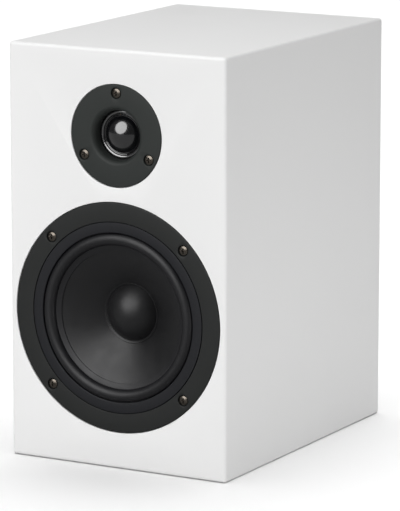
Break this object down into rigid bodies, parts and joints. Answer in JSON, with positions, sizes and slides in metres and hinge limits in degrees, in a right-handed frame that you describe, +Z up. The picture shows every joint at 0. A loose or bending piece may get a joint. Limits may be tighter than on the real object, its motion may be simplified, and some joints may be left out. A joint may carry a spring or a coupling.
{
  "type": "bookshelf speaker",
  "caption": "Two-way bookshelf loudspeaker in a white rectangular cabinet, with a cone woofer below a dome tweeter, rear port and screw terminals.",
  "frame": {"origin": "centre of the cabinet's underside", "axes": "+Z up, the front baffle with its drivers faces -Y, +X to the right seen from the front"},
  "size_m": [0.153, 0.2113, 0.262],
  "materials": {
    "cabinet_paint": "satin",
    "fleece": "matte",
    "trim_black": "matte",
    "faceplate_grey": "matte",
    "gasket_rubber": "matte",
    "surround_rubber": "satin",
    "diaphragm_black": "satin",
    "silk_black": "gloss",
    "zinc_plate": "satin",
    "magnet_steel": "satin",
    "motor_steel": "satin",
    "ferrite": "matte",
    "seal_foam": "matte",
    "spider_cloth": "matte",
    "coil_copper": "satin",
    "tinsel": "satin",
    "board": "satin",
    "screw_black": "satin",
    "moulded_black": "satin",
    "terminal_gold": "polished",
    "knob_red": "gloss",
    "knob_black": "gloss",
    "capacitor_film": "satin",
    "capacitor_can": "satin",
    "resistor_ceramic": "matte",
    "cable_black": "satin"
  },
  "bodies": {
    "speaker": {"front_baffle": "cabinet_paint", "rear_panel": "cabinet_paint", "left_side_panel": "cabinet_paint", "right_side_panel": "cabinet_paint", "top_panel": "cabinet_paint", "bottom_panel": "cabinet_paint", "damping_fleece": "fleece", "woofer_trim_ring": "trim_black", "woofer_gasket_ring": "gasket_rubber", "woofer_surround": "surround_rubber", "woofer_basket": "zinc_plate", "woofer_seal": "seal_foam", "woofer_spider": "spider_cloth", "woofer_top_plate": "motor_steel", "woofer_magnet": "ferrite", "woofer_yoke": "motor_steel", "woofer_terminal_strip": "board", "tinsel_lead_left": "tinsel", "tinsel_lead_right": "tinsel", "woofer_screw_1": "screw_black", "woofer_screw_2": "screw_black", "woofer_screw_3": "screw_black", "woofer_screw_4": "screw_black", "tweeter_faceplate": "faceplate_grey", "tweeter_surround": "silk_black", "tweeter_diaphragm_ring": "moulded_black", "tweeter_yoke": "zinc_plate", "tweeter_magnet": "magnet_steel", "tweeter_pole_piece": "motor_steel", "tweeter_terminal_strip": "board", "tweeter_screw_1": "screw_black", "tweeter_screw_2": "screw_black", "tweeter_screw_3": "screw_black", "port_tube": "moulded_black", "terminal_cup": "moulded_black", "terminal_cup_screw_1": "screw_black", "terminal_cup_screw_2": "screw_black", "terminal_cup_screw_3": "screw_black", "terminal_cup_screw_4": "screw_black", "terminal_stud_left": "terminal_gold", "terminal_collar_left": "knob_red", "terminal_stud_right": "terminal_gold", "terminal_collar_right": "knob_black", "crossover_board": "board", "crossover_inductor_large": "coil_copper", "crossover_inductor_small": "coil_copper", "crossover_capacitor_large": "capacitor_film", "crossover_capacitor_small": "capacitor_can", "crossover_resistor": "resistor_ceramic", "woofer_cable": "cable_black", "tweeter_cable": "cable_black"},
    "woofer_moving": {"woofer_cone": "diaphragm_black", "woofer_dust_cap": "diaphragm_black", "woofer_voice_coil": "coil_copper"},
    "tweeter_moving": {"tweeter_dome": "silk_black", "tweeter_voice_coil": "coil_copper"},
    "washer_left": {"terminal_washer_left": "terminal_gold"},
    "knob_left": {"terminal_knob_left": "knob_red"},
    "washer_right": {"terminal_washer_right": "terminal_gold"},
    "knob_right": {"terminal_knob_right": "knob_black"}
  },
  "joints": [
    {"name": "woofer_travel", "type": "slide", "parent": "speaker", "child": "woofer_moving", "axis": [0, 1, 0], "range_m": [-0.004, 0.004], "stiffness_N_per_m": 1000, "deforming": ["woofer_surround", "woofer_spider", "tinsel_lead_left", "tinsel_lead_right"]},
    {"name": "tweeter_travel", "type": "slide", "parent": "speaker", "child": "tweeter_moving", "axis": [0, 1, 0], "range_m": [-0.0004, 0.0004], "stiffness_N_per_m": 800, "deforming": ["tweeter_surround"]},
    {"name": "terminal_lift_left", "type": "slide", "parent": "speaker", "child": "washer_left", "axis": [0, 1, 0], "range_m": [0, 0.0045]},
    {"name": "terminal_turn_left", "type": "hinge", "parent": "washer_left", "child": "knob_left", "pos_m": [-0.014, 0.091, 0.08], "axis": [0, 1, 0], "range_deg": [0, 1620]},
    {"name": "terminal_lift_right", "type": "slide", "parent": "speaker", "child": "washer_right", "axis": [0, 1, 0], "range_m": [0, 0.0045]},
    {"name": "terminal_turn_right", "type": "hinge", "parent": "washer_right", "child": "knob_right", "pos_m": [0.014, 0.091, 0.08], "axis": [0, 1, 0], "range_deg": [0, 1620]}
  ],
  "couplings": [
    {"joint": "terminal_turn_left", "follows": "terminal_lift_left", "rad_per_m": 6283.2},
    {"joint": "terminal_turn_right", "follows": "terminal_lift_right", "rad_per_m": 6283.2}
  ]
}
